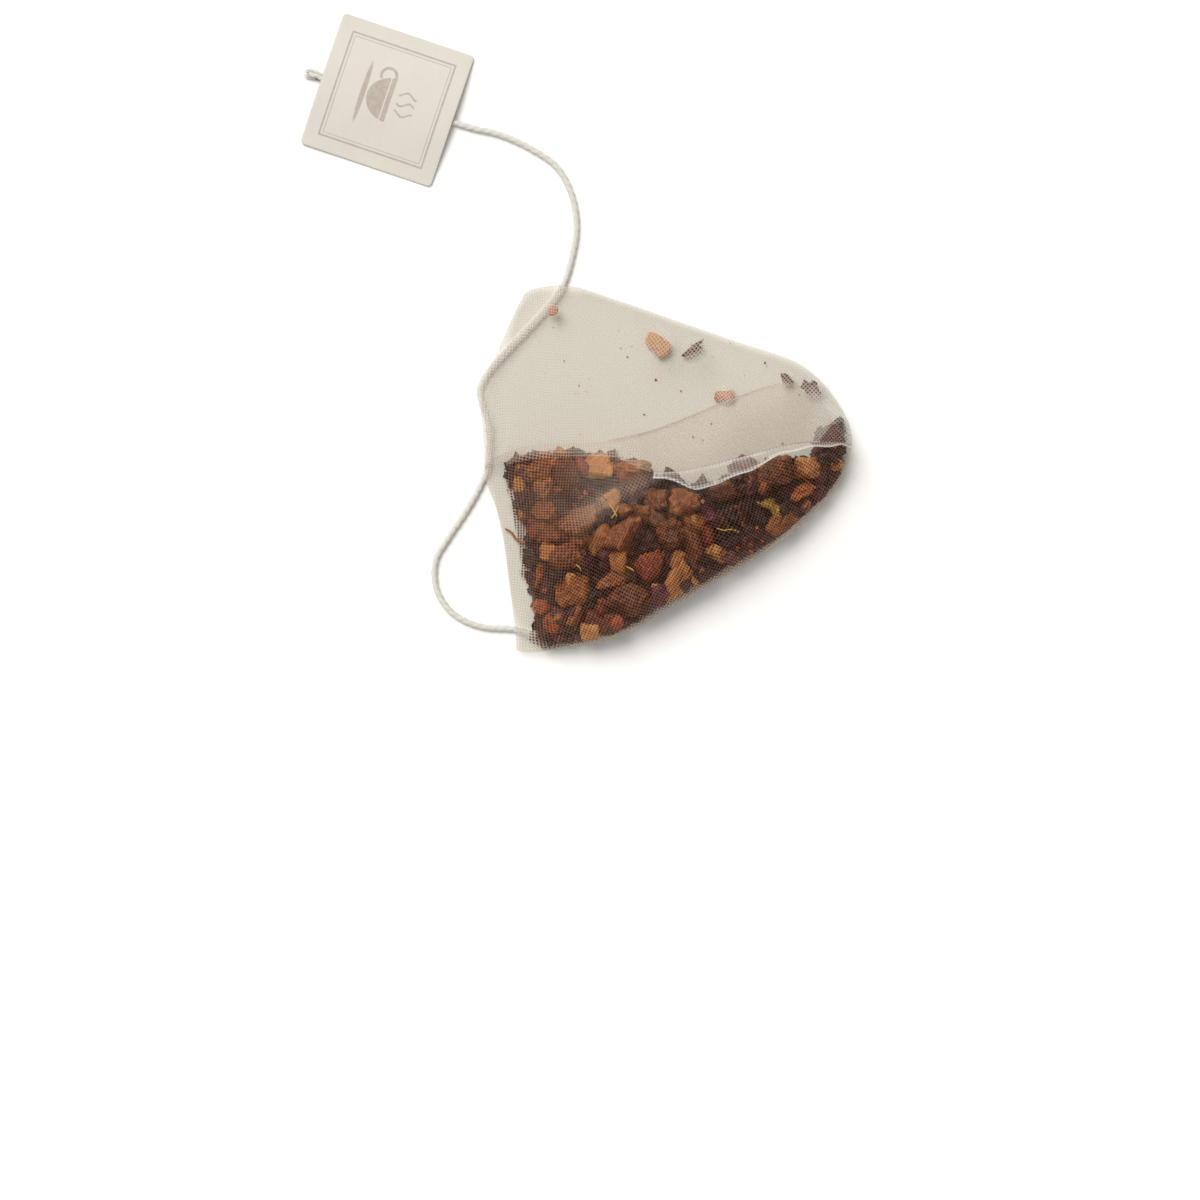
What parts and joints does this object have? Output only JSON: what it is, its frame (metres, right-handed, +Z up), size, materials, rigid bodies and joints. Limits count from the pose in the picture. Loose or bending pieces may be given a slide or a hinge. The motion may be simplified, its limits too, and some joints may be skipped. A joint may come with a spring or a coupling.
{
  "type": "pyramid tea bag",
  "caption": "Filled pyramid tea bag of see-through woven mesh with loose fruit infusion, lying on one face, with its string and square paper tag laid out beside it.",
  "frame": {"origin": "on the table, under the middle of the pouch's outline", "axes": "+Z up from the table; +Y along the flat seam, from the string's corner; +X from the flat seam to the far corner"},
  "size_m": [0.0887, 0.103, 0.0287],
  "materials": {
    "mesh": "fine see-through plain weave",
    "thread": "twisted matte",
    "paper": "uncoated matte",
    "apple": "dried fruit flesh, matte",
    "rosehip": "dried fruit skin, satin",
    "hibiscus": "dried flower, wrinkled",
    "leaf": "dried leaf, wrinkled",
    "petal": "dried petal, matte"
  },
  "bodies": {
    "root": {"apple_piece_01": "apple", "apple_piece_02": "apple", "apple_piece_03": "apple", "apple_piece_04": "apple", "apple_piece_05": "apple", "apple_piece_06": "apple", "apple_piece_07": "apple", "apple_piece_08": "apple", "apple_piece_09": "apple", "apple_piece_10": "apple", "apple_piece_11": "apple", "apple_piece_12": "apple", "apple_piece_13": "apple", "apple_piece_14": "apple", "apple_piece_15": "apple", "apple_piece_16": "apple", "apple_piece_17": "apple", "apple_piece_18": "apple", "apple_piece_19": "apple", "apple_piece_20": "apple", "apple_piece_21": "apple", "apple_piece_22": "apple", "apple_piece_23": "apple", "apple_piece_24": "apple", "apple_piece_25": "apple", "apple_piece_26": "apple", "apple_piece_27": "apple", "apple_piece_28": "apple", "apple_piece_29": "apple", "hibiscus_piece_01": "hibiscus", "hibiscus_piece_02": "hibiscus", "hibiscus_piece_03": "hibiscus", "hibiscus_piece_04": "hibiscus", "hibiscus_piece_05": "hibiscus", "hibiscus_piece_06": "hibiscus", "hibiscus_piece_07": "hibiscus", "hibiscus_piece_08": "hibiscus", "hibiscus_piece_09": "hibiscus", "hibiscus_piece_10": "hibiscus", "hibiscus_piece_11": "hibiscus", "hibiscus_piece_12": "hibiscus", "hibiscus_piece_13": "hibiscus", "hibiscus_piece_14": "hibiscus", "hibiscus_piece_15": "hibiscus", "hibiscus_piece_16": "hibiscus", "leaf_piece_01": "leaf", "leaf_piece_02": "leaf", "leaf_piece_03": "leaf", "mesh_pouch": "mesh", "paper_tag": "paper", "petal_piece_01": "petal", "rosehip_piece_01": "rosehip", "rosehip_piece_02": "rosehip", "rosehip_piece_03": "rosehip", "rosehip_piece_04": "rosehip", "rosehip_piece_05": "rosehip", "string": "thread", "string_weld": "thread"}
  },
  "joints": []
}
